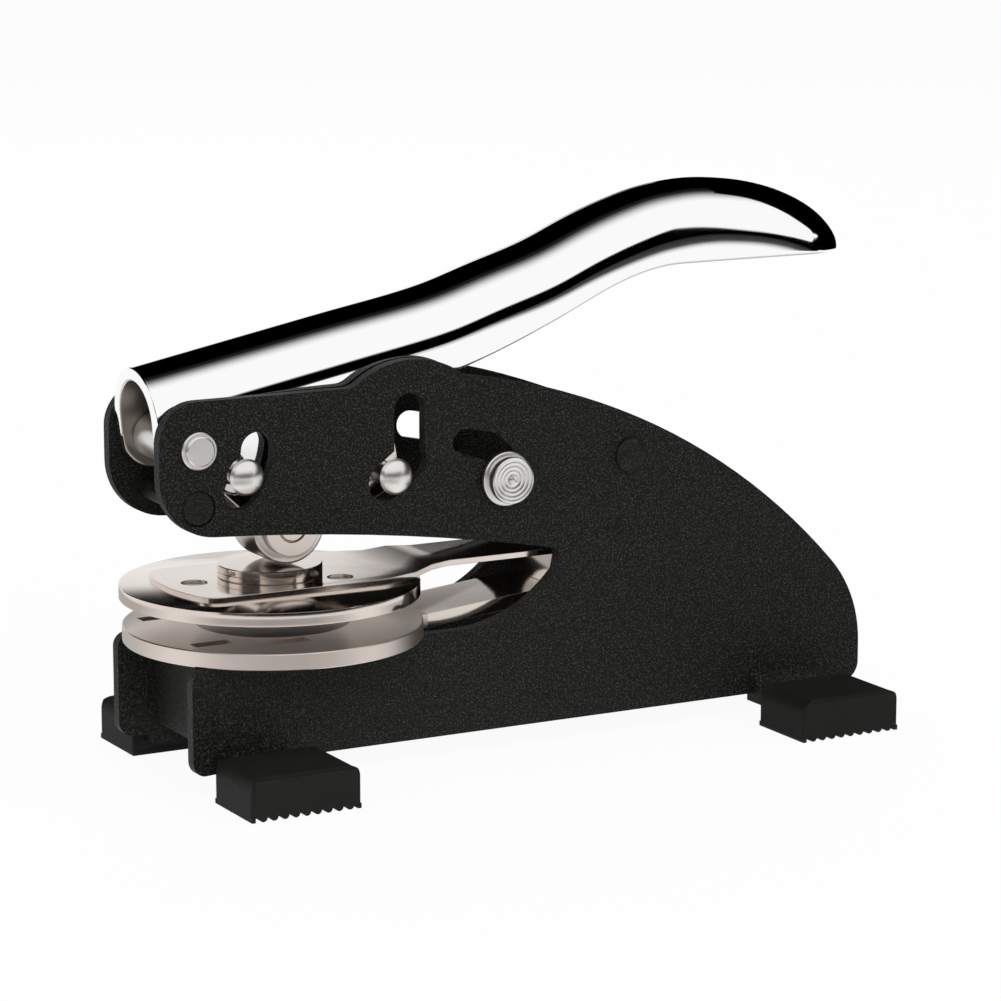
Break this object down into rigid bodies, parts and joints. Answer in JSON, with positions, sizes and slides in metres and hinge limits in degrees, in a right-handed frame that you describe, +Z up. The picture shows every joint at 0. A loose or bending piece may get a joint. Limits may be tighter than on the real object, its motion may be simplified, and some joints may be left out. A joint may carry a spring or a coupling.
{
  "type": "desk seal embosser",
  "caption": "Desk seal embosser: lever handle over two side plates, roller press lever, round dies on spring arms, sliding lock knob and rubber feet.",
  "frame": {"origin": "bottom centre of the whole embosser, on the desk under the middle of its length", "axes": "+X to the rear, where the handle's grip is; -X to the front, where the dies are; +Z up; +Y to the far side; the near side with the lock knob faces -Y"},
  "size_m": [0.162, 0.0736, 0.1133],
  "materials": {
    "black_powder_coat": "textured black powder coat",
    "black_rivet": "smooth black paint",
    "bright_chrome": "turned and plated",
    "mirror_chrome": "mirror polish",
    "satin_nickel": "polished nickel plate",
    "engraved_steel": "ground steel",
    "black_rubber": "matt moulded rubber"
  },
  "bodies": {
    "frame": {"near_side_plate": "black_powder_coat", "far_side_plate": "black_powder_coat", "front_web": "black_powder_coat", "front_cross_rivet": "black_rivet", "rear_cross_rivet": "black_rivet", "rear_distance_sleeve": "black_rivet", "handle_pivot_rivet": "bright_chrome", "handle_pivot_sleeve": "bright_chrome", "front_near_foot": "black_rubber", "front_far_foot": "black_rubber", "rear_near_foot": "black_rubber", "rear_far_foot": "black_rubber", "lower_die_plate": "satin_nickel", "lower_die": "engraved_steel", "die_arm_spacer": "satin_nickel", "die_set_rivets": "bright_chrome"},
    "handle": {"handle": "mirror_chrome", "press_pin": "bright_chrome"},
    "press_lever": {"near_press_cheek": "satin_nickel", "far_press_cheek": "satin_nickel", "fulcrum_pin": "bright_chrome", "roller_axle": "satin_nickel"},
    "roller": {"roller": "bright_chrome"},
    "upper_die_set": {"upper_die_plate": "satin_nickel", "upper_die": "engraved_steel", "upper_die_arm": "satin_nickel", "upper_arm_rivets": "bright_chrome", "pressure_button": "satin_nickel"},
    "lock": {"lock_rod": "bright_chrome", "lock_knob": "bright_chrome", "lock_retaining_washer": "bright_chrome"}
  },
  "joints": [
    {"name": "handle_pivot", "type": "hinge", "parent": "frame", "child": "handle", "pos_m": [-0.0722, 0, 0.0682], "axis": [0, 1, 0], "range_deg": [0, 15], "stiffness_Nm_per_rad": 2, "springref_deg": -11.46},
    {"name": "press_lever_pivot", "type": "hinge", "parent": "handle", "child": "press_lever", "pos_m": [-0.0622, 0, 0.0622], "axis": [0, 1, 0], "range_deg": [-17, 0]},
    {"name": "roller_spin", "type": "hinge", "parent": "press_lever", "child": "roller", "pos_m": [-0.0492, 0, 0.0499], "axis": [0, 1, 0], "continuous": true},
    {"name": "upper_die_travel", "type": "hinge", "parent": "frame", "child": "upper_die_set", "pos_m": [0.0155, 0, 0.03947], "axis": [0, 1, 0], "range_deg": [-1.8, 0]},
    {"name": "lock_slide", "type": "slide", "parent": "frame", "child": "lock", "axis": [-0.1414, 0, 0.9899], "range_m": [0, 0.0036]}
  ],
  "couplings": [
    {"joint": "press_lever_pivot", "follows": "handle_pivot", "ratio": -1.13},
    {"joint": "upper_die_travel", "follows": "handle_pivot", "ratio": -0.115}
  ]
}
